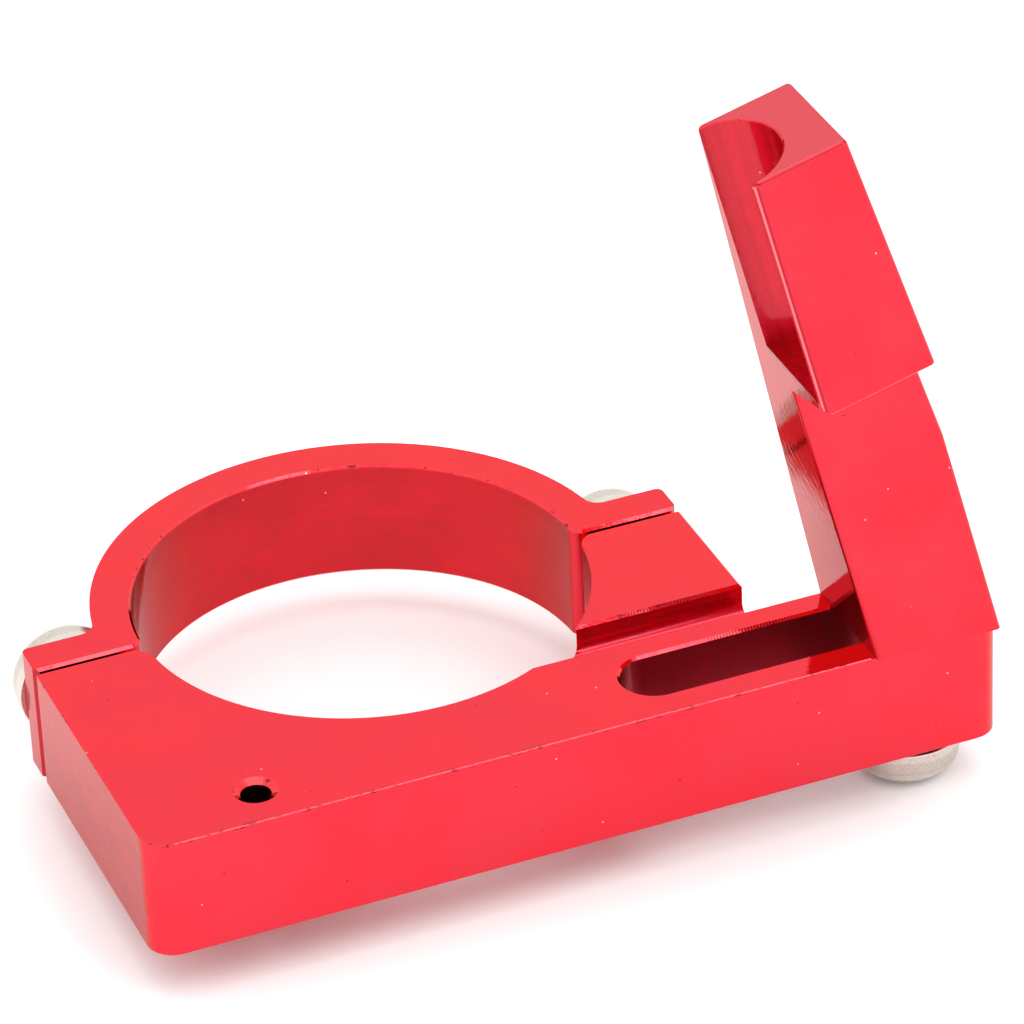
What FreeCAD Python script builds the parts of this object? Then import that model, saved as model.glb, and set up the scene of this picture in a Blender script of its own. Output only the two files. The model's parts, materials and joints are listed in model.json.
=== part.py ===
import FreeCAD, Part
import math
import os
from FreeCAD import Vector

# Two-piece tube clamp with a slotted finger and a leaning hook arm, millimetres.
# Frame: the clamp bore's axis is +Z, the base block's underside is z = 0, +X runs
# along the finger and +Y points from the base block to the clamp cap.

# ---- base block -------------------------------------------------------------
plate_t = 14.0             # thickness of the base block and of the cap
bore_r = 25.0              # tube bore
block_left = -37.4         # left end of the block and of the cap's ears
ear_right = 37.5           # right end of the rear ear block
finger_end = 59.45         # right end of the finger
front_y = -36.4            # long front face
finger_back_y = -22.4      # back of the finger = near wall of the groove
groove_back_y = -17.3      # far wall of the groove
groove_depth = 3.3
groove_fillet = 1.0
base_split_y = -0.5        # split face of the base block
corner_r = 3.0             # upright front corners
mouth_r = 3.0              # rounding where the base's split face meets the bore
split_chamfer = 0.3
edge_break = 0.1
ear_chamfer = 0.3          # top edges of the rear ear block
finger_back_round = 0.4    # upright edge at the finger's far back corner

slot_w = 7.5               # slot in the finger
slot_x0, slot_x1 = 22.1, 52.1
slot_y = -29.2
slot_chamfer = 0.3

tap_xy = (-23.6, -30.9)    # accessory hole near the front left corner
tap_r = 1.65
tap_sink_r = 2.4
tap_sink_depth = 0.5

# ---- clamp cap --------------------------------------------------------------
cap_split_y = 0.10         # 0.6 mm from the base block's split face on a full-size tube
cap_outer = (0.05, 0.6)    # centre of the ring's outer wall, a little beyond the bore's
cap_outer_r = 29.35
ear_back_y = 4.6
ear_corner_r = 0.8
ring_fillet = 1.8
cap_mouth_r = 1.5
cap_end_chamfer = 0.6      # upright edges of the ears at the split
cap_chamfer = 0.3          # along the split faces, the mouths and the bore

# ---- hook arm, drawn upright and then leaned over ---------------------------
lean_deg = 14.5            # lean towards -X
arm_left_x = 44.4          # left edge of the foot on the finger
arm_w = 14.1               # width below the kink
arm_top_w = 10.65          # width at the top
arm_len = 68.3             # along the lean
foot_spare = 6.0           # drawn below the block's top face and trimmed off flush with it
kink_h = 23.1
arm_front_y = -37.15       # front of the lower part
head_front_y = -45.75      # front of the overhanging head
hook_in_h, hook_out_h = 37.05, 38.7
foot_back_y, top_back_y = -22.1, -31.85
seat_r = 6.4               # half-round seat down the head's left side
seat_u, seat_y = -0.5, -38.8
seat_floor_h = 40.3
facet_u, facet_h = 0.9, 1.1  # facet on the hook's lower left corner, none at its root
facet_spread = 3.0         # the cutting face is drawn this much larger than the facet
arm_round = 0.6
head_left_round = 0.9      # front left upright of the head
arm_top_round = 0.5
hook_round = 0.2           # lower front edge of the head
seat_chamfer = 0.25        # round the seat's mouth in the top face

# ---- screws and washers, M6 -------------------------------------------------
shank_r = 2.95
tip_chamfer = 0.5
thread_r = 3.0
clear_r = 3.3
head_r, head_h, head_flat_r, head_side_h = 5.9, 3.3, 3.4, 1.2
dome_out, dome_down = 0.80, 0.62   # middle of the dome's arc, as shares of its run and rise
hex_af, hex_depth = 4.0, 2.0
hex_lead_in, hex_lead_depth = 0.35, 0.5
washer_r, washer_hole_r, washer_t = 6.1, 3.25, 1.6
washer_round = 0.2
spot_r = 6.35              # seat for the washer where it bites into the ring's flank
cap_screw_x = (-31.9, 31.6)
cap_screw_z = 7.6
cap_thread_depth = 13.0
cap_screw_len = 16.0
arm_screw_x, arm_screw_y = 51.2, slot_y
arm_screw_gap = 1.1        # how far the arm screw is backed off below the block
arm_washer_t = 1.2
arm_thread_top = 24.5
arm_screw_top = 23.0

past = 1.0                 # how far a cutting shape runs past the face it opens
wide_r = 60.0              # reach of cutting shapes that take away everything beyond
out_dir = "parts"


def box(x0, x1, y0, y1, z0, z1):
    return Part.makeBox(x1 - x0, y1 - y0, z1 - z0, Vector(x0, y0, z0))


def prism(points, z0, z1):
    """Upright prism over a closed outline of (x, y) corners."""
    wire = Part.makePolygon([Vector(x, y, z0) for x, y in points + points[:1]])
    return Part.Face(wire).extrude(Vector(0, 0, z1 - z0))


def rod(r, start, direction, length):
    return Part.makeCylinder(r, length, Vector(*start), Vector(*direction))


def pick(shape, test):
    """Edges whose bounding box satisfies test(box, edge)."""
    return [e for e in shape.Edges if test(e.BoundBox, e)]


def near(value, target, tol=0.02):
    return abs(value - target) < tol


def upright_at(x, y, tol=0.05):
    def test(b, e):
        return (b.XLength < 0.01 and b.YLength < 0.01 and near(b.XMin, x, tol)
                and near(b.YMin, y, tol))
    return test


def flat_at(b, z):
    """True for an edge that lies in the horizontal plane at z."""
    return near(b.ZMin, z) and near(b.ZMax, z)


def through(r, x, y):
    """Upright cutting cylinder through the plate's full thickness."""
    return rod(r, (x, y, -past), (0, 0, 1), plate_t + 2 * past)


def round_mouths(body, y, mouth):
    """Round the corners where the split face runs into the bore."""
    half = math.sqrt(bore_r ** 2 - y ** 2)
    return body.makeFillet(mouth, pick(body, upright_at(-half, y))
                           + pick(body, upright_at(half, y)))


def screw(length):
    """Screw along +Z: head below z = 0, shank from 0 to length."""
    side = head_h - head_side_h
    profile = [Vector(0, 0, length), Vector(shank_r - tip_chamfer, 0, length),
               Vector(shank_r, 0, length - tip_chamfer), Vector(shank_r, 0, 0),
               Vector(head_r, 0, 0), Vector(head_r, 0, -head_side_h)]
    low = Vector(head_flat_r, 0, -head_h)
    # the arc's middle point bulges past the straight line to make the head's dome
    mid = Vector(head_flat_r + dome_out * (head_r - head_flat_r), 0,
                 -head_side_h - dome_down * side)
    lines = [Part.LineSegment(a, b).toShape() for a, b in zip(profile, profile[1:])]
    lines.append(Part.Arc(profile[-1], mid, low).toShape())
    lines.append(Part.LineSegment(low, Vector(0, 0, -head_h)).toShape())
    lines.append(Part.LineSegment(Vector(0, 0, -head_h), profile[0]).toShape())
    solid = Part.Face(Part.Wire(lines)).revolve(Vector(0, 0, 0), Vector(0, 0, 1), 360)
    hex_r = hex_af / math.sqrt(3)
    corners = [(hex_r * math.cos(math.radians(60 * i)), hex_r * math.sin(math.radians(60 * i)))
               for i in range(6)]
    socket = prism(corners, -head_h - past, -head_h + hex_depth)
    lead_in = Part.makeCone(hex_r + hex_lead_in, hex_r + hex_lead_in - hex_lead_depth,
                            hex_lead_depth, Vector(0, 0, -head_h))
    return solid.cut(socket).cut(lead_in)


def washer(t):
    ring = Part.makeCylinder(washer_r, t).cut(Part.makeCylinder(washer_hole_r, t))
    rims = pick(ring, lambda b, e: b.XLength > 2 * washer_r - 0.01 and b.ZLength < 0.01)
    return ring.makeFillet(washer_round, rims)


def side_hardware(shape, x):
    """Turn a part drawn head-down on Z so that its head points to +Y."""
    shape = shape.copy()
    shape.rotate(Vector(0, 0, 0), Vector(1, 0, 0), 90)
    shape.translate(Vector(x, ear_back_y, cap_screw_z))
    return shape


def base_block():
    outline = [(block_left, front_y), (finger_end, front_y), (finger_end, finger_back_y),
               (ear_right, finger_back_y), (ear_right, base_split_y), (block_left, base_split_y)]
    body = prism(outline, 0, plate_t)
    body = body.makeFillet(corner_r, pick(body, upright_at(block_left, front_y))
                           + pick(body, upright_at(finger_end, front_y)))
    body = body.cut(through(bore_r, 0, 0))
    body = body.makeChamfer(split_chamfer, pick(
        body, lambda b, e: near(b.YMin, base_split_y) and near(b.YMax, base_split_y)
        and (b.XLength > mouth_r or abs(b.XMin) > bore_r + mouth_r)))
    body = round_mouths(body, base_split_y, mouth_r)
    body = body.makeFillet(finger_back_round, pick(body, upright_at(finger_end, finger_back_y)))

    # groove between the rear ear block and the finger, open to the bore and to the end
    floor_z = plate_t - groove_depth
    groove = box(0, ear_right + past, finger_back_y, groove_back_y, floor_z, plate_t + past)
    groove = groove.makeFillet(groove_fillet, pick(
        groove, lambda b, e: flat_at(b, floor_z) and b.XLength > ear_right))
    body = body.cut(groove)

    # the ear block's free top edges
    body = body.makeChamfer(ear_chamfer, pick(
        body, lambda b, e: flat_at(b, plate_t)
        and ((near(b.YMin, groove_back_y) and near(b.YMax, groove_back_y))
             or (near(b.XMin, ear_right) and near(b.XMax, ear_right)))))

    # slot through the finger, softened at both mouths
    half = slot_w / 2
    slot = box(slot_x0, slot_x1, slot_y - half, slot_y + half, -past, plate_t + past)
    for x in (slot_x0, slot_x1):
        slot = slot.fuse(through(half, x, slot_y))
    body = body.cut(slot.removeSplitter())
    body = body.makeChamfer(slot_chamfer, pick(
        body, lambda b, e: (flat_at(b, 0) or flat_at(b, plate_t))
        and b.XMin > slot_x0 - slot_w and b.XMax < slot_x1 + slot_w
        and b.YMin > slot_y - half - 0.1 and b.YMax < slot_y + half + 0.1))

    # accessory hole, countersunk
    tx, ty = tap_xy
    body = body.cut(through(tap_r, tx, ty))
    body = body.cut(Part.makeCone(tap_r, 2 * tap_sink_r - tap_r, 2 * tap_sink_depth,
                                  Vector(tx, ty, plate_t - tap_sink_depth)))

    # threaded holes for the cap screws
    for x in cap_screw_x:
        body = body.cut(rod(thread_r, (x, base_split_y + past, cap_screw_z), (0, -1, 0),
                            cap_thread_depth + past))

    # broken edges round the outside, top and bottom
    for z in (0, plate_t):
        body = body.makeChamfer(edge_break, pick(
            body, lambda b, e: flat_at(b, z)
            and ((near(b.YMin, front_y) and near(b.YMax, front_y))
                 or (near(b.XMin, block_left) and near(b.XMax, block_left))
                 or (near(b.XMin, finger_end) and near(b.XMax, finger_end))
                 or (e.Curve.TypeId == "Part::GeomCircle" and near(e.Curve.Radius, corner_r)
                     and b.YMax < front_y + corner_r + 0.1))))
    return body


def clamp_cap():
    ox, oy = cap_outer
    ring = rod(cap_outer_r, (ox, oy, 0), (0, 0, 1), plate_t)
    ears = box(block_left, -block_left, cap_split_y, ear_back_y, 0, plate_t)
    body = ring.fuse(ears).removeSplitter()
    body = body.cut(box(-wide_r, wide_r, -wide_r, cap_split_y, -past, plate_t + past))
    reach = math.sqrt(cap_outer_r ** 2 - (ear_back_y - oy) ** 2)
    for x in (ox - reach, ox + reach):
        body = body.makeFillet(ring_fillet, pick(body, upright_at(x, ear_back_y)))
    for x in (block_left, -block_left):
        body = body.makeFillet(ear_corner_r, pick(body, upright_at(x, ear_back_y)))
    body = body.cut(through(bore_r, 0, 0))
    body = round_mouths(body, cap_split_y, cap_mouth_r)
    for x in (block_left, -block_left):
        body = body.makeChamfer(cap_end_chamfer, pick(body, upright_at(x, cap_split_y)))
    # one chamfer runs along each split face, round the mouths and along the bore
    body = body.makeChamfer(cap_chamfer, pick(
        body, lambda b, e: (flat_at(b, 0) or flat_at(b, plate_t)) and (
            (near(b.YMin, cap_split_y) and near(b.YMax, cap_split_y))
            or (e.Curve.TypeId == "Part::GeomCircle"
                and (near(e.Curve.Radius, bore_r) or near(e.Curve.Radius, cap_mouth_r))))))
    # clearance holes, and spot faces for the washers
    for x in cap_screw_x:
        at_split = (x, cap_split_y - past, cap_screw_z)
        body = body.cut(rod(clear_r, at_split, (0, 1, 0), ear_back_y + 2 * past))
        body = body.cut(rod(spot_r, (x, ear_back_y, cap_screw_z), (0, 1, 0), cap_outer_r))
    return body


def hook_arm():
    # front view (u across, h up) and side view (y, h), both drawn before the lean
    # and longer than needed at the bottom, where the lean tips the foot
    low = -foot_spare
    front = [(0, low), (arm_w, low), (arm_w, kink_h), (arm_top_w, arm_len), (0, arm_len)]
    slope = (top_back_y - foot_back_y) / arm_len
    side = [(foot_back_y + low * slope, low), (arm_front_y, low), (arm_front_y, hook_in_h),
            (head_front_y, hook_out_h), (head_front_y, arm_len), (top_back_y, arm_len)]
    wire = Part.makePolygon([Vector(u, -wide_r, h) for u, h in front + front[:1]])
    body = Part.Face(wire).extrude(Vector(0, wide_r, 0))
    wire = Part.makePolygon([Vector(-past, y, h) for y, h in side + side[:1]])
    body = body.common(Part.Face(wire).extrude(Vector(arm_w + 2 * past, 0, 0)))

    # facet across the hook's lower left corner, running out at the hook's root
    root = Vector(0, arm_front_y, hook_in_h)
    upper = Vector(0, head_front_y, hook_out_h + facet_h)
    lower = Vector(facet_u, head_front_y, hook_out_h)
    out = (lower - root).cross(upper - root).normalize()
    if out.z > 0:
        out = -out
    middle = (root + upper + lower) / 3
    spread = [middle + (v - middle) * facet_spread for v in (root, upper, lower, root)]
    facet = Part.Face(Part.makePolygon(spread)).extrude(out * seat_r)
    facet = facet.common(box(-wide_r, wide_r, -wide_r, arm_front_y, 0, arm_len))
    body = body.cut(facet).removeSplitter()

    # soft edges: the head's front left upright, the other uprights, the hook and the top
    body = body.makeFillet(head_left_round, pick(
        body, lambda b, e: near(b.XMax, 0) and near(b.YMax, head_front_y) and b.ZLength > arm_w))
    body = body.makeFillet(arm_round, pick(
        body, lambda b, e: b.ZLength > hook_in_h - kink_h - 0.1
        and (near(b.XMax, 0) or b.XMin > arm_top_w - 0.1)))
    body = body.makeFillet(hook_round, pick(
        body, lambda b, e: flat_at(b, hook_out_h) and near(b.YMax, head_front_y)))
    body = body.makeFillet(arm_top_round, pick(body, lambda b, e: flat_at(b, arm_len)))

    # half-round seat, open at the top and on the left, chamfered where it meets the top
    body = body.cut(rod(seat_r, (seat_u, seat_y, seat_floor_h), (0, 0, 1), arm_len))
    body = body.cut(Part.makeCone(seat_r, seat_r + 2 * seat_chamfer, 2 * seat_chamfer,
                                  Vector(seat_u, seat_y, arm_len - seat_chamfer)))

    body.rotate(Vector(0, 0, 0), Vector(0, 1, 0), -lean_deg)
    body.translate(Vector(arm_left_x, 0, plate_t))
    body = body.cut(box(0, finger_end + wide_r, -wide_r, 0, 0, plate_t))
    body = body.cut(rod(thread_r, (arm_screw_x, arm_screw_y, plate_t - past), (0, 0, 1),
                        arm_thread_top - plate_t + past))
    return body


parts = {"base_block": base_block(), "clamp_cap": clamp_cap(), "hook_arm": hook_arm()}
for side, x in zip(("left", "right"), cap_screw_x):
    turned = washer(washer_t)
    turned.translate(Vector(0, 0, -washer_t))
    parts["clamp_washer_" + side] = side_hardware(turned, x)
    bolt = screw(cap_screw_len)
    bolt.translate(Vector(0, 0, -washer_t))
    parts["clamp_screw_" + side] = side_hardware(bolt, x)

seat_z = -arm_screw_gap - arm_washer_t
ring = washer(arm_washer_t)
ring.translate(Vector(arm_screw_x, arm_screw_y, seat_z))
parts["arm_washer"] = ring
bolt = screw(arm_screw_top - seat_z)
bolt.translate(Vector(arm_screw_x, arm_screw_y, seat_z))
parts["arm_screw"] = bolt

os.makedirs(out_dir, exist_ok=True)
for name, shape in parts.items():
    if len(shape.Solids) == 1:
        shape = shape.Solids[0]
    assert shape.ShapeType == "Solid" and shape.isValid(), name
    shape.exportStep("%s/%s.step" % (out_dir, name))
    b = shape.BoundBox
    print("%-20s vol %9.1f  x %7.2f %7.2f  y %7.2f %7.2f  z %7.2f %7.2f" % (
        name, shape.Volume, b.XMin, b.XMax, b.YMin, b.YMax, b.ZMin, b.ZMax))
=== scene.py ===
import json
import math

import bpy
from mathutils import Matrix, Vector


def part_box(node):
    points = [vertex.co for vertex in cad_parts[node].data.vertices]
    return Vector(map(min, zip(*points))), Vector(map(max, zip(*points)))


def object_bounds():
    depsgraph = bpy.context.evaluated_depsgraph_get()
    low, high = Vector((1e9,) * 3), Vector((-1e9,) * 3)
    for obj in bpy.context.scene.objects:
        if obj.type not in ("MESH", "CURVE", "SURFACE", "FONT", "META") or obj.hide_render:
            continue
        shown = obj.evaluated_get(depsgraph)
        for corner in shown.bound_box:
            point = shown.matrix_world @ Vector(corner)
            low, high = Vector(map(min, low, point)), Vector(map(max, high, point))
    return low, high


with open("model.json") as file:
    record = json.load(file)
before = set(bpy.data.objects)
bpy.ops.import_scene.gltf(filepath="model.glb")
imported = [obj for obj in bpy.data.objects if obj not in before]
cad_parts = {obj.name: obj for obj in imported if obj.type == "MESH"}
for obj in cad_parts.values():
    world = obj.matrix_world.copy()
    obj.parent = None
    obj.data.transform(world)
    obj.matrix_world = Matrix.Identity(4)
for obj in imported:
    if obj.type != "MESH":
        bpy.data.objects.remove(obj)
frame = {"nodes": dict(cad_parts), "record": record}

CAD_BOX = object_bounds()
MM = 0.001
FADE = 0.1               # most masks go from one end to the other over this much

# ---- places, all read from the frame, in metres unless divided by MM ---------------
NODES = frame["nodes"]
MOUNTS = {mount["name"]: mount for mount in frame["record"]["mounts"]}
SLOT_LOW, SLOT_HIGH = next(opening["box_m"] for opening in frame["record"]["physics"]["openings"]
                           if opening["name"] == "finger_slot")
BASE_LOW, BASE_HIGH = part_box("base_block")
SCREW_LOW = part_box("arm_screw")[0]
SEAT_POINT = Vector(MOUNTS["hook_seat"]["pos_m"])
SEAT_FACING = Vector(MOUNTS["hook_seat"]["axis"])
ARM_UP = Vector((SEAT_FACING.z, 0.0, -SEAT_FACING.x))     # the arm's lean, and the seat's own axis
ARM_TOP = max(vertex.co.dot(ARM_UP) for vertex in NODES["hook_arm"].data.vertices) / MM
HEAD_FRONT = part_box("hook_arm")[0].y / MM
BORE_R = MOUNTS["clamp_bore"]["dims"]["r_mm"]
PLATE_TOP = BASE_HIGH.z / MM
PLATE_FRONT = BASE_LOW.y / MM

# ---- sizes of the marks, millimetres ----------------------------------------------
RIM = 0.3                        # chamfer round the top edges
SLOT_END_R = 3.75                # the slot's round ends reach this far past its straight part
SLOT_SIDE = 0.2                  # and its walls this far past the stated opening
GROOVE_BACK, GROOVE_FRONT = -17.2, -22.5
GROOVE_LEFT, GROOVE_LOW = 18.5, 10.5
GROOVE_MARGIN = 0.8              # painted shade: its wall darkens upwards, but for this much at either end
MOUTH_FRONT, MOUTH_OUT = -6.0, 3.0     # the rounded mouth: behind this y, this far past the bore
EAR_OUT = 36.0                   # the ears' upright chamfers lie further out than this
CHATTER_PITCH = 0.36
CHATTER_SLANT = 0.75             # x plus this much of y lines the marks up on both chamfers
CHATTER_START = (7.0, 12.5)      # they fade in and out over these lengths of that sum
CHATTER_END = (18.0, 23.0)
CHATTER_FRONT = -30.0            # and they lie behind this y
NICK, NICK_CORE = 0.40, 0.20     # reach of the nicks in the front top edge, and of their middles
SEAT_R = 6.4
SEAT_BELOW = 14.5                # the seat's lower end is less than this below SEAT_POINT
HEAD_FRONT_DEPTH = 1.0           # the head's front edges lie within this of its front

# ---- relief, the first line in metres and the rest in units of RELIEF_UNIT ----------
RELIEF_UNIT, STEEL_RELIEF = 0.00001, 0.00003
GRAIN_RELIEF, RIPPLE_RELIEF = 0.05, 1.8
GROOVE_RELIEF, CHATTER_RELIEF, END_RELIEF, SEAT_RELIEF = 0.8, 2.5, 3.0, 0.6

# ---- round specks: size of the cells that can hold one, radius, share of cells that do ----
PALE_SPECKS = (2.5, 0.13, 0.30)
DARK_SPECKS = (2.7, 0.13, 0.15)

# ---- finishes ------------------------------------------------------------------------
FILM_WEIGHT, FILM_IOR, FILM_ROUGHNESS = 0.70, 1.42, 0.07
BORE_ROUGHNESS = 0.20
SLOT_ROUGHNESS = 0.32
GROOVE_ROUGHNESS = 0.34
SEAT_ROUGHNESS = 0.40
HEAD_TOP_ROUGHNESS = 0.26
CHIP_ROUGHNESS = 0.30
EAR_EDGE_ROUGHNESS = 0.25
LINE_ROUGHNESS = 0.20

# ---- colours, linear -------------------------------------------------------------------
RED = (0.74, 0.008, 0.027, 1.0)
CLOUDY_RED = (0.69, 0.015, 0.036, 1.0)
ARM_RED = (0.67, 0.007, 0.024, 1.0)       # the arm is a shade deeper than the block
CLOUDY_ARM_RED = (0.64, 0.014, 0.034, 1.0)
GRAIN_RED = (0.64, 0.012, 0.034, 1.0)
EDGE_WEAR_AND_HIGHLIGHT_RED = (0.78, 0.030, 0.040, 1.0)      # film wears thinner on the broken edges; partly a painted highlight there too
CHIP_RED = (0.22, 0.004, 0.012, 1.0)
PALE_SPECK = (0.88, 0.34, 0.36, 1.0)
# the slot's colours are paler than RED: partly the milled walls' own tone, partly painted light
# down in the slot
SLOT_RED = (0.56, 0.060, 0.090, 1.0)
SLOT_BROWN = (0.48, 0.066, 0.096, 1.0)
# the groove's colours: its real streaks and blotches, and painted shade towards the top of its
# wall
GROOVE_RED = (0.68, 0.024, 0.056, 1.0)
GROOVE_STREAK_AND_SHADE = (0.42, 0.024, 0.050, 1.0)
# the bore's colours are darker than RED: painted shade inside the bore, under its real marks
BORE_RED = (0.62, 0.003, 0.014, 1.0)
BORE_DARK = (0.50, 0.003, 0.012, 1.0)
MOUTH_BRIGHTENED_RED = (0.92, 0.002, 0.008, 1.0)     # painted light: the round between the block's split face and its bore, brighter and purer than RED to lift its duller reflection
SEAT_RED = (0.60, 0.010, 0.028, 1.0)
SEAT_DARK = (0.50, 0.008, 0.024, 1.0)
EAR_EDGE_RED = (0.42, 0.003, 0.014, 1.0)
HEAD_TOP_RED = (0.60, 0.060, 0.080, 1.0)
LIP_HIGHLIGHT_RED = (0.82, 0.17, 0.20, 1.0)         # a painted highlight down the head's rounded front corner
LINE_SHADE_RED = (0.42, 0.004, 0.018, 1.0)      # and the dark line of painted shade beside it, also used on the head's top front edge
HOOK_LIP_HIGHLIGHT_RED = (0.86, 0.14, 0.17, 1.0)    # a painted highlight along the head's rounded lower edge
END_RED = (0.60, 0.010, 0.026, 1.0)
GRAZING_TINT = (0.58, 0.05, 0.05, 1.0)    # the dyed film darkens the metal at a low angle
STEEL = (0.74, 0.68, 0.62, 1.0)
DULL_STEEL = (0.34, 0.30, 0.25, 1.0)
FLOOR_COLOUR = (0.94, 0.94, 0.94, 1.0)
WHITE = (1.0, 1.0, 1.0, 1.0)

# ---- floor and light -------------------------------------------------------------------
FLOOR_HALF, FLOOR_GAP = 3.0, 0.4 * MM      # metres; the gap is under the lowest screw head
FLOOR_ROUGHNESS, FLOOR_SHINE = 0.9, 0.1
TOWARDS_CAMERA = (-0.301, -0.789, 0.535)
OPENING_EDGE, OPENING_CORE = 0.93, 0.98    # cosines of the opening's outer and inner half angle
TENT_LIGHT, OPENING_LIGHT = 1.36, 0.80
OVERHEAD_PLACE = Vector((0.05, -0.05, 1.50))
OVERHEAD_SIDE, OVERHEAD_WATTS = 1.2, 6.0
EDGE_LIGHT_FROM = Vector((0.301, -0.535, 0.789))   # where edges broken at 45 degrees mirror it
EDGE_LIGHT_AWAY = 0.9
EDGE_LIGHT_SIDE, EDGE_LIGHT_WATTS = 0.34, 1.1

# ---- camera ----------------------------------------------------------------------------
LENS, SENSOR = 213.42, 36.0                # millimetres
CLIP_NEAR, CLIP_FAR = 0.02, 20.0           # metres
CAMERA_PLACE = Vector((-181.19, -522.03, 372.70)) * MM
CAMERA_RIGHT = Vector((0.92444, -0.37927, -0.03932))
CAMERA_UP = Vector((0.23398, 0.48282, 0.84387))


# ---- small node helpers ------------------------------------------------------------------
class Tree:
    """A material's node tree with short ways to add and join nodes."""

    def __init__(self, name):
        self.material = bpy.data.materials.new(name)
        self.material.use_nodes = True
        self.tree = self.material.node_tree
        self.tree.nodes.clear()
        self.out = self.node("ShaderNodeOutputMaterial")
        self.shader = self.node("ShaderNodeBsdfPrincipled")
        self.link(self.shader.outputs["BSDF"], self.out.inputs["Surface"])

    def node(self, kind, **settings):
        made = self.tree.nodes.new(kind)
        for name, value in settings.items():
            setattr(made, name, value)
        return made

    def link(self, a, b):
        self.tree.links.new(a, b)

    def put(self, socket, value):
        """Join a socket to another node's output, or give it a plain value."""
        if isinstance(value, bpy.types.NodeSocket):
            self.link(value, socket)
        else:
            socket.default_value = value

    def maths(self, operation, a, b=0.0, c=0.0, clamp=False):
        made = self.node("ShaderNodeMath", operation=operation, use_clamp=clamp)
        for socket, value in zip(made.inputs, (a, b, c)):
            self.put(socket, value)
        return made.outputs[0]

    def mix(self, factor, a, b, kind="RGBA"):
        """Blend two colours, or two numbers with kind FLOAT."""
        made = self.node("ShaderNodeMix", data_type=kind)
        for name, value in (("Factor", factor), ("A", a), ("B", b)):
            self.put(made.inputs[name], value)
        return made.outputs["Result"]

    def step(self, value, low, high, to_low=0.0, to_high=1.0):
        """Smooth change from to_low to to_high as value goes from low to high."""
        made = self.node("ShaderNodeMapRange", interpolation_type="SMOOTHSTEP")
        for name, x in (("Value", value), ("From Min", low), ("From Max", high),
                        ("To Min", to_low), ("To Max", to_high)):
            self.put(made.inputs[name], x)
        return made.outputs["Result"]

    def above(self, value, low, soft=FADE):
        """0 up to low, 1 from low + soft."""
        return self.step(value, low, low + soft)

    def below(self, value, low, soft=FADE):
        """1 up to low, 0 from low + soft."""
        return self.step(value, low, low + soft, 1.0, 0.0)

    def within(self, value, low, high, soft=0.06):
        """1 between low and high, 0 outside, with soft ends."""
        return self.both(self.step(value, low - soft, low + soft),
                         self.step(value, high - soft, high + soft, 1.0, 0.0))

    def both(self, *masks):
        """Where all of the masks hold."""
        total = masks[0]
        for mask in masks[1:]:
            total = self.maths("MULTIPLY", total, mask)
        return total

    def split(self, vector):
        parts = self.node("ShaderNodeSeparateXYZ")
        self.link(vector, parts.inputs[0])
        return parts.outputs["X"], parts.outputs["Y"], parts.outputs["Z"]

    def join(self, x, y, z):
        made = self.node("ShaderNodeCombineXYZ")
        for socket, value in zip(made.inputs, (x, y, z)):
            self.put(socket, value)
        return made.outputs["Vector"]

    def place(self):
        """The point in the object's own frame, in millimetres, and the surface's normal."""
        coords = self.node("ShaderNodeTexCoord")
        scale = self.node("ShaderNodeVectorMath", operation="SCALE")
        self.link(coords.outputs["Object"], scale.inputs[0])
        scale.inputs["Scale"].default_value = 1 / MM
        return scale.outputs[0], coords.outputs["Normal"]

    def along(self, vector, direction):
        """How far a point lies along a direction."""
        made = self.node("ShaderNodeVectorMath", operation="DOT_PRODUCT")
        self.link(vector, made.inputs[0])
        made.inputs[1].default_value = direction
        return made.outputs["Value"]

    def off_axis(self, vector, origin, direction):
        """A point's distance from a line through origin."""
        from_origin = self.node("ShaderNodeVectorMath", operation="SUBTRACT")
        self.link(vector, from_origin.inputs[0])
        from_origin.inputs[1].default_value = origin
        across = self.node("ShaderNodeVectorMath", operation="CROSS_PRODUCT")
        self.link(from_origin.outputs[0], across.inputs[0])
        across.inputs[1].default_value = direction
        length = self.node("ShaderNodeVectorMath", operation="LENGTH")
        self.link(across.outputs[0], length.inputs[0])
        return length.outputs["Value"]

    def stretched(self, vector, scale):
        made = self.node("ShaderNodeMapping")
        self.link(vector, made.inputs["Vector"])
        made.inputs["Scale"].default_value = scale
        return made.outputs["Vector"]

    def noise(self, vector, scale=1.0, detail=2.0, roughness=0.5):
        made = self.node("ShaderNodeTexNoise")
        self.link(vector, made.inputs["Vector"])
        made.inputs["Scale"].default_value = scale
        made.inputs["Detail"].default_value = detail
        made.inputs["Roughness"].default_value = roughness
        return made.outputs["Fac"]

    def bump(self, height, strength, distance):
        made = self.node("ShaderNodeBump")
        self.link(height, made.inputs["Height"])
        made.inputs["Strength"].default_value = strength
        made.inputs["Distance"].default_value = distance
        self.link(made.outputs["Normal"], self.shader.inputs["Normal"])
        self.link(made.outputs["Normal"], self.shader.inputs["Coat Normal"])


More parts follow.
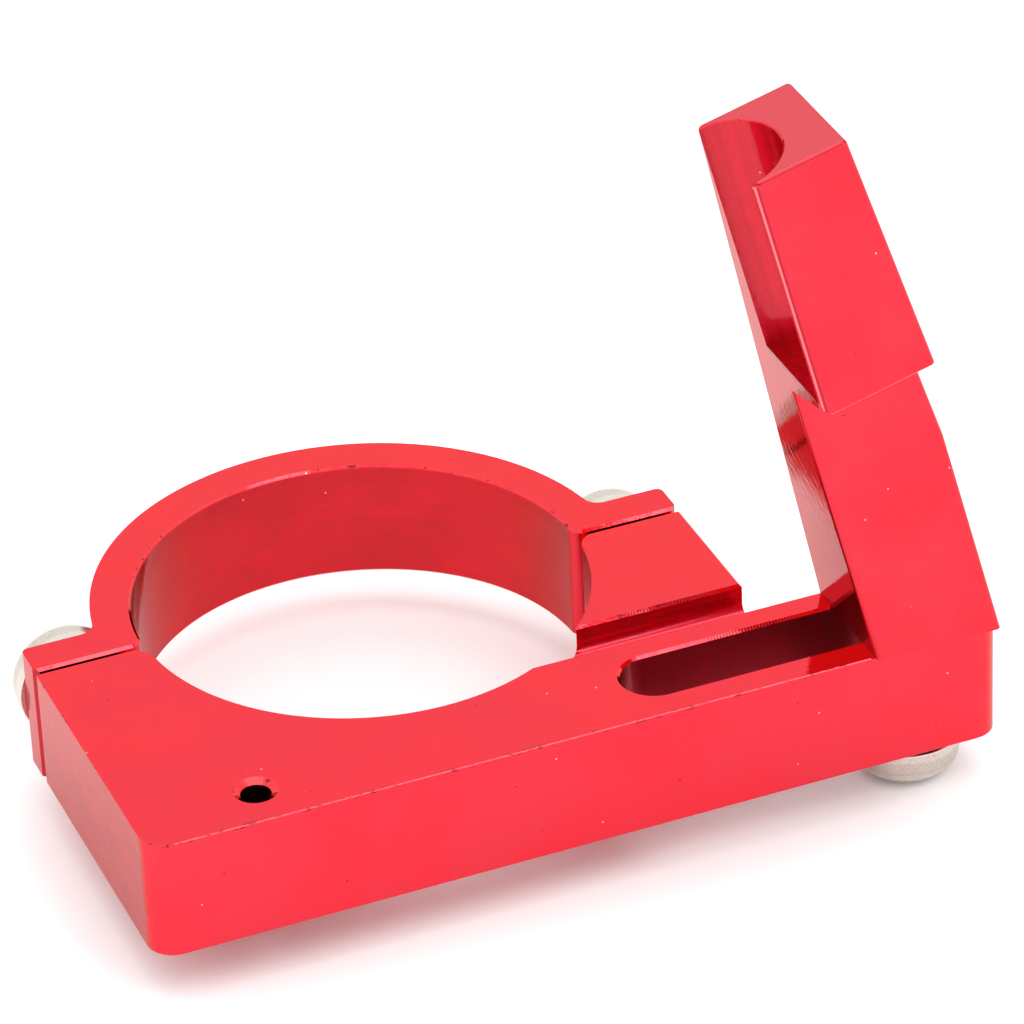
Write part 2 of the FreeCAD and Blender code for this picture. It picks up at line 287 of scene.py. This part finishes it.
class Anodised(Tree):
    """Satin red anodised aluminium: faint clouds, specks, and chipped edges painted paler in
    patches, partly wear and partly a painted highlight.
    """

    def __init__(self, name, red, cloudy):
        super().__init__(name)
        self.point, self.normal = self.place()
        self.x, self.y, self.z = self.split(self.point)
        self.normal_x, self.normal_y, self.normal_z = self.split(self.normal)
        cloud = self.noise(self.point, 0.09, 3.0, 0.55)
        fine = self.noise(self.point, 7.0, 3.0, 0.6)
        self.colour = self.mix(self.step(cloud, 0.34, 0.66), red, cloudy)
        self.region(self.step(fine, 0.45, 0.70, 0.0, 0.5), GRAIN_RED)
        self.roughness = self.maths("MULTIPLY_ADD", fine, 0.06, 0.09)
        ripple = self.noise(self.point, 0.8, 3.0, 0.6)
        self.height = self.maths("MULTIPLY", ripple, RIPPLE_RELIEF)
        self.raise_by(fine, GRAIN_RELIEF)

        # the chamfers round the top face: chips, and paler patches that are partly wear and partly
        # a painted highlight
        self.edge = self.within(self.normal_z, 0.52, 0.88, 0.03)
        wear_and_highlight = self.step(self.noise(self.point, 0.9, 3.0, 0.7), 0.30, 0.60)
        chips = self.step(self.noise(self.point, 1.1, 2.0, 0.5), 0.63, 0.65)
        self.region(self.both(self.edge, wear_and_highlight), EDGE_WEAR_AND_HIGHLIGHT_RED)
        self.region(self.both(self.edge, chips), CHIP_RED)

    def region(self, mask, colour, roughness=None):
        """Colour where the mask holds, with a roughness of its own if one is given."""
        self.colour = self.mix(mask, self.colour, colour)
        if roughness is not None:
            self.roughness = self.mix(mask, self.roughness, roughness, kind="FLOAT")

    def raise_by(self, pattern, relief):
        self.height = self.maths("MULTIPLY_ADD", pattern, relief, self.height)

    def specks(self, cell, radius, share, colour):
        """Round specks, one in some of the cells of this size."""
        voronoi = self.node("ShaderNodeTexVoronoi")
        self.link(self.point, voronoi.inputs["Vector"])
        voronoi.inputs["Scale"].default_value = 1 / cell
        chosen = self.below(self.split(voronoi.outputs["Color"])[0], share, 0.01)
        spot = self.step(voronoi.outputs["Distance"], 0.7 * radius / cell, radius / cell, 1.0, 0.0)
        self.region(self.both(chosen, spot), colour)

    def finish(self):
        self.specks(*PALE_SPECKS, PALE_SPECK)
        self.specks(*DARK_SPECKS, CHIP_RED)
        self.link(self.colour, self.shader.inputs["Base Color"])
        self.link(self.roughness, self.shader.inputs["Roughness"])
        for socket, value in (("Metallic", 1.0), ("Specular Tint", GRAZING_TINT),
                              ("Coat Weight", FILM_WEIGHT), ("Coat IOR", FILM_IOR),
                              ("Coat Roughness", FILM_ROUGHNESS)):
            self.shader.inputs[socket].default_value = value
        self.bump(self.height, 1.0, RELIEF_UNIT)
        return self.material


def bore_marks(t):
    """Faint marks round the bore, with a duller cloud over them, on a base painted darker as
    painted shade.
    """
    rings = t.noise(t.stretched(t.point, (0.03, 0.03, 3.0)), 1.0, 2.0, 0.6)
    cloud = t.noise(t.point, 0.14, 3.0, 0.6)
    radius = t.off_axis(t.point, (0.0, 0.0, 0.0), (0.0, 0.0, 1.0))
    in_bore = t.below(radius, BORE_R + 0.05, 0.05)
    dull = t.maths("ADD", t.step(rings, 0.4, 0.6, 0.0, 0.35), t.step(cloud, 0.35, 0.65, 0.0, 0.65))
    # painted shade: the whole bore is darker than the block's outside, with its marks and cloud on
    # top
    t.region(in_bore, t.mix(dull, BORE_RED, BORE_DARK), BORE_ROUGHNESS)


def slot_and_groove(t, below_rim):
    """Upright bands on the slot's walls, which are painted paler as painted light, and streaks and
    blotches along the groove, whose wall has painted shade towards its top.
    """
    slot_left = SLOT_LOW[0] / MM - SLOT_END_R
    bands = t.noise(t.stretched(t.point, (1.6, 1.6, 0.02)), 1.0, 2.0, 0.5)
    in_slot = t.both(t.within(t.y, SLOT_LOW[1] / MM - SLOT_SIDE, SLOT_HIGH[1] / MM + SLOT_SIDE),
                     t.above(t.x, slot_left - FADE), below_rim, t.above(t.z, RIM))
    # painted light: the slot's walls are paler than the block, besides their upright tool bands
    t.region(in_slot, t.mix(t.step(bands, 0.35, 0.65), SLOT_RED, SLOT_BROWN), SLOT_ROUGHNESS)

    streaks = t.noise(t.stretched(t.point, (0.05, 2.4, 2.4)), 1.0, 3.0, 0.6)
    blotch = t.noise(t.point, 0.6, 4.0, 0.65)
    in_groove = t.both(t.within(t.y, GROOVE_FRONT, GROOVE_BACK), below_rim,
                       t.above(t.z, GROOVE_LOW), t.above(t.x, GROOVE_LEFT))
    dark = t.maths("ADD", t.step(streaks, 0.40, 0.60, 0.0, 0.5),
                   t.step(blotch, 0.45, 0.60, 0.0, 0.3))
    # painted shade: the groove's wall is darker towards its top and lighter towards its floor
    painted_shade_rise = t.step(t.z, GROOVE_LOW + GROOVE_MARGIN, PLATE_TOP - GROOVE_MARGIN, -0.2, 0.3)
    dark = t.maths("ADD", dark, painted_shade_rise, clamp=True)
    t.region(in_groove, t.mix(dark, GROOVE_RED, GROOVE_STREAK_AND_SHADE), GROOVE_ROUGHNESS)
    t.raise_by(t.both(in_groove, streaks), GROOVE_RELIEF)


def chatter(t):
    """A comb of cutter marks part way along both of the chamfers that face the front."""
    reach = t.maths("MULTIPLY_ADD", t.y, CHATTER_SLANT, t.x)
    chattered = t.both(t.step(reach, *CHATTER_START), t.step(reach, *CHATTER_END, 1.0, 0.0))
    facing_front = t.step(t.normal_y, -0.6, -0.5, 1.0, 0.0)
    wave = t.maths("SINE", t.maths("MULTIPLY", t.x, 2 * math.pi / CHATTER_PITCH))
    comb = t.both(t.edge, facing_front, chattered, t.above(t.y, CHATTER_FRONT, 1.0),
                  t.above(t.z, PLATE_TOP - 2 * RIM, RIM), t.step(wave, -0.2, 0.2))
    t.region(comb, CHIP_RED, CHIP_ROUGHNESS)
    t.raise_by(comb, CHATTER_RELIEF)


def block_metal():
    """The base block: a marked bore in painted shade, a mouth painted brighter, slot and groove
    with painted light and shade, chatter, nicks and a streaked end.
    """
    t = Anodised("red_anodised_block", RED, CLOUDY_RED)
    bore_marks(t)

    below_rim = t.step(t.z, PLATE_TOP - RIM - 0.08, PLATE_TOP - RIM, 1.0, 0.0)
    # painted light: the bore's rounded mouth is coloured brighter than the block
    mouth = t.both(t.above(t.y, MOUTH_FRONT - FADE),
                   t.below(t.maths("ABSOLUTE", t.x), BORE_R + MOUTH_OUT))
    t.region(t.both(mouth, below_rim), MOUTH_BRIGHTENED_RED)
    slot_and_groove(t, below_rim)
    chatter(t)

    # the front top edge is nicked every few millimetres
    nicks = t.step(t.noise(t.stretched(t.point, (0.9, 2.5, 2.5)), 1.0, 2.0, 0.6), 0.56, 0.60)
    near_front = t.step(t.y, PLATE_FRONT + NICK_CORE, PLATE_FRONT + NICK, 1.0, 0.0)
    near_top = t.step(t.z, PLATE_TOP - NICK, PLATE_TOP - NICK_CORE)
    t.region(t.both(nicks, near_front, near_top), CHIP_RED, CHIP_ROUGHNESS)

    # faint wavy streaks and dark specks over the left end
    on_end = t.step(t.normal_x, -0.95, -0.90, 1.0, 0.0)
    waves = t.noise(t.stretched(t.point, (1.0, 0.16, 0.60)), 1.0, 4.0, 0.6)
    spots = t.noise(t.point, 1.7, 2.0, 0.5)
    t.region(t.both(on_end, t.step(waves, 0.42, 0.66)), END_RED)
    t.region(t.both(on_end, t.step(spots, 0.70, 0.74)), CHIP_RED)
    t.raise_by(t.both(on_end, waves), END_RELIEF)
    return t.finish()


def cap_metal():
    """The cap: a marked bore in painted shade, and darker upright chamfers on the ears' front
    corners.
    """
    t = Anodised("red_anodised_cap", RED, CLOUDY_RED)
    bore_marks(t)
    corner = t.both(t.within(t.maths("ABSOLUTE", t.normal_x), 0.6, 0.8),
                    t.within(t.normal_y, -0.8, -0.6),
                    t.above(t.maths("ABSOLUTE", t.x), EAR_OUT, 0.5))
    t.region(corner, EAR_EDGE_RED, EAR_EDGE_ROUGHNESS)
    return t.finish()


def arm_metal():
    """The hook arm: a duller seat with lines along it, a greyer top, and painted highlights and
    painted shade along its front edges.
    """
    t = Anodised("red_anodised_arm", ARM_RED, CLOUDY_ARM_RED)
    up = t.along(t.point, ARM_UP)
    leaned = t.join(t.along(t.point, SEAT_FACING), t.y, up)
    lines = t.noise(t.stretched(leaned, (1.3, 1.3, 0.03)), 1.0, 3.0, 0.6)
    grain = t.noise(t.point, 1.2, 4.0, 0.7)
    seat_end = SEAT_POINT.dot(ARM_UP) / MM - SEAT_BELOW
    in_seat = t.both(t.below(t.off_axis(t.point, SEAT_POINT / MM, ARM_UP), SEAT_R + 0.03, 0.05),
                     t.above(up, seat_end, 0.2))
    dark = t.maths("ADD", t.step(lines, 0.40, 0.60, 0.0, 0.7), t.step(grain, 0.40, 0.60, 0.0, 0.3))
    t.region(in_seat, t.mix(dark, SEAT_RED, SEAT_DARK), SEAT_ROUGHNESS)
    t.raise_by(t.both(in_seat, lines), SEAT_RELIEF)
    t.region(t.step(up, ARM_TOP - 0.12, ARM_TOP - 0.04), HEAD_TOP_RED, HEAD_TOP_ROUGHNESS)

    # painted highlights and painted shade: light and dark lines down the head's left front corner
    # and along its top and lower front edges
    upward = t.along(t.normal, ARM_UP)
    front_edge = t.both(t.below(t.normal_y, -0.25),
                        t.below(t.y, HEAD_FRONT + HEAD_FRONT_DEPTH - FADE))
    upright = t.both(front_edge, t.below(t.maths("ABSOLUTE", upward), 0.2))
    for where, facing, low, high, colour, roughness in (
            (upright, t.normal_x, -0.95, -0.60, LIP_HIGHLIGHT_RED, LINE_ROUGHNESS),
            (upright, t.normal_x, -0.56, -0.34, LINE_SHADE_RED, LINE_ROUGHNESS),
            (front_edge, upward, 0.55, 0.95, LINE_SHADE_RED, LINE_ROUGHNESS),
            (front_edge, upward, 0.30, 0.52, EDGE_WEAR_AND_HIGHLIGHT_RED, None),
            (front_edge, upward, -0.95, -0.12, HOOK_LIP_HIGHLIGHT_RED, LINE_ROUGHNESS)):
        t.region(t.both(where, t.within(facing, low, high, 0.03)), colour, roughness)
    return t.finish()


def turned_steel(name, node, axis):
    """Satin stainless steel, warm grey, with turning marks round the part's own axis."""
    t = Tree(name)
    point = t.place()[0]
    low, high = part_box(node)
    radius = t.off_axis(point, (low + high) / 2 / MM, axis)
    rings = t.node("ShaderNodeTexNoise", noise_dimensions="1D")
    t.link(radius, rings.inputs["W"])
    rings.inputs["Scale"].default_value = 5.0
    rings.inputs["Detail"].default_value = 3.0
    grain = t.noise(point, 9.0, 3.0, 0.7)
    marks = t.maths("ADD", t.maths("MULTIPLY", rings.outputs["Fac"], 0.6),
                    t.maths("MULTIPLY", grain, 0.4))
    specks = t.step(t.noise(point, 3.0, 3.0, 0.7), 0.60, 0.68, 0.0, 0.6)
    dull = t.maths("ADD", t.step(marks, 0.42, 0.66, 0.0, 0.8), specks, clamp=True)
    t.link(t.mix(dull, STEEL, DULL_STEEL), t.shader.inputs["Base Color"])
    t.link(t.maths("MULTIPLY_ADD", marks, 0.20, 0.20), t.shader.inputs["Roughness"])
    t.shader.inputs["Metallic"].default_value = 1.0
    t.bump(marks, 0.35, STEEL_RELIEF)
    return t.material


def dress(node, material):
    mesh = NODES[node].data
    mesh.materials.clear()
    mesh.materials.append(material)


dress("base_block", block_metal())
dress("clamp_cap", cap_metal())
dress("hook_arm", arm_metal())
for side in ("left", "right"):
    for piece in ("screw", "washer"):
        node = "clamp_%s_%s" % (piece, side)
        dress(node, turned_steel("stainless_%s_%s" % (piece, side), node, (0.0, 1.0, 0.0)))
for piece in ("screw", "washer"):
    dress("arm_" + piece, turned_steel("stainless_arm_" + piece, "arm_" + piece, (0.0, 0.0, 1.0)))


# ---- floor and light ------------------------------------------------------------------------
def plain(name, colour, roughness, shine):
    t = Tree(name)
    t.shader.inputs["Base Color"].default_value = colour
    t.shader.inputs["Roughness"].default_value = roughness
    t.shader.inputs["Specular IOR Level"].default_value = shine
    return t.material


def make_floor():
    half, z = FLOOR_HALF, SCREW_LOW.z - FLOOR_GAP
    mesh = bpy.data.meshes.new("studio_floor")
    mesh.from_pydata([(-half, -half, z), (half, -half, z), (half, half, z), (-half, half, z)],
                     [], [(0, 1, 2, 3)])
    floor = bpy.data.objects.new("studio_floor", mesh)
    bpy.context.scene.collection.objects.link(floor)
    mesh.materials.append(plain("pale_floor", FLOOR_COLOUR, FLOOR_ROUGHNESS, FLOOR_SHINE))


def softbox(name, place, target, side, watts):
    """A square white light that faces the target."""
    data = bpy.data.lights.new(name, "AREA")
    data.shape = "RECTANGLE"
    data.size, data.size_y = side, side
    data.energy = watts
    light = bpy.data.objects.new(name, data)
    bpy.context.scene.collection.objects.link(light)
    light.location = place
    light.rotation_mode = "QUATERNION"
    light.rotation_quaternion = (target - place).to_track_quat("-Z", "Y")


def make_world():
    """An even white tent, a little dimmer in one fixed direction, where the camera stands."""
    world = bpy.data.worlds.new("studio")
    world.use_nodes = True
    nodes, links = world.node_tree.nodes, world.node_tree.links
    background = nodes["Background"]
    background.inputs["Color"].default_value = WHITE
    coords = nodes.new("ShaderNodeTexCoord")
    dot = nodes.new("ShaderNodeVectorMath")
    dot.operation = "DOT_PRODUCT"
    links.new(coords.outputs["Generated"], dot.inputs[0])
    dot.inputs[1].default_value = TOWARDS_CAMERA
    fade = nodes.new("ShaderNodeMapRange")
    fade.interpolation_type = "SMOOTHSTEP"
    links.new(dot.outputs["Value"], fade.inputs["Value"])
    for name, value in (("From Min", OPENING_EDGE), ("From Max", OPENING_CORE),
                        ("To Min", TENT_LIGHT), ("To Max", OPENING_LIGHT)):
        fade.inputs[name].default_value = value
    links.new(fade.outputs["Result"], background.inputs["Strength"])
    bpy.context.scene.world = world


def make_camera():
    data = bpy.data.cameras.new("camera")
    data.sensor_width = SENSOR
    data.lens = LENS
    data.clip_start, data.clip_end = CLIP_NEAR, CLIP_FAR
    camera = bpy.data.objects.new("camera", data)
    bpy.context.scene.collection.objects.link(camera)
    back = CAMERA_RIGHT.cross(CAMERA_UP)
    turn = Matrix((CAMERA_RIGHT, CAMERA_UP, back)).transposed().to_4x4()
    camera.matrix_world = Matrix.Translation(CAMERA_PLACE) @ turn
    bpy.context.scene.camera = camera


make_floor()
make_world()
centre = (CAD_BOX[0] + CAD_BOX[1]) / 2
softbox("overhead", OVERHEAD_PLACE, centre, OVERHEAD_SIDE, OVERHEAD_WATTS)
softbox("edge_light", centre + EDGE_LIGHT_FROM * EDGE_LIGHT_AWAY, centre,
        EDGE_LIGHT_SIDE, EDGE_LIGHT_WATTS)
bpy.context.scene.view_settings.view_transform = "Standard"
make_camera()
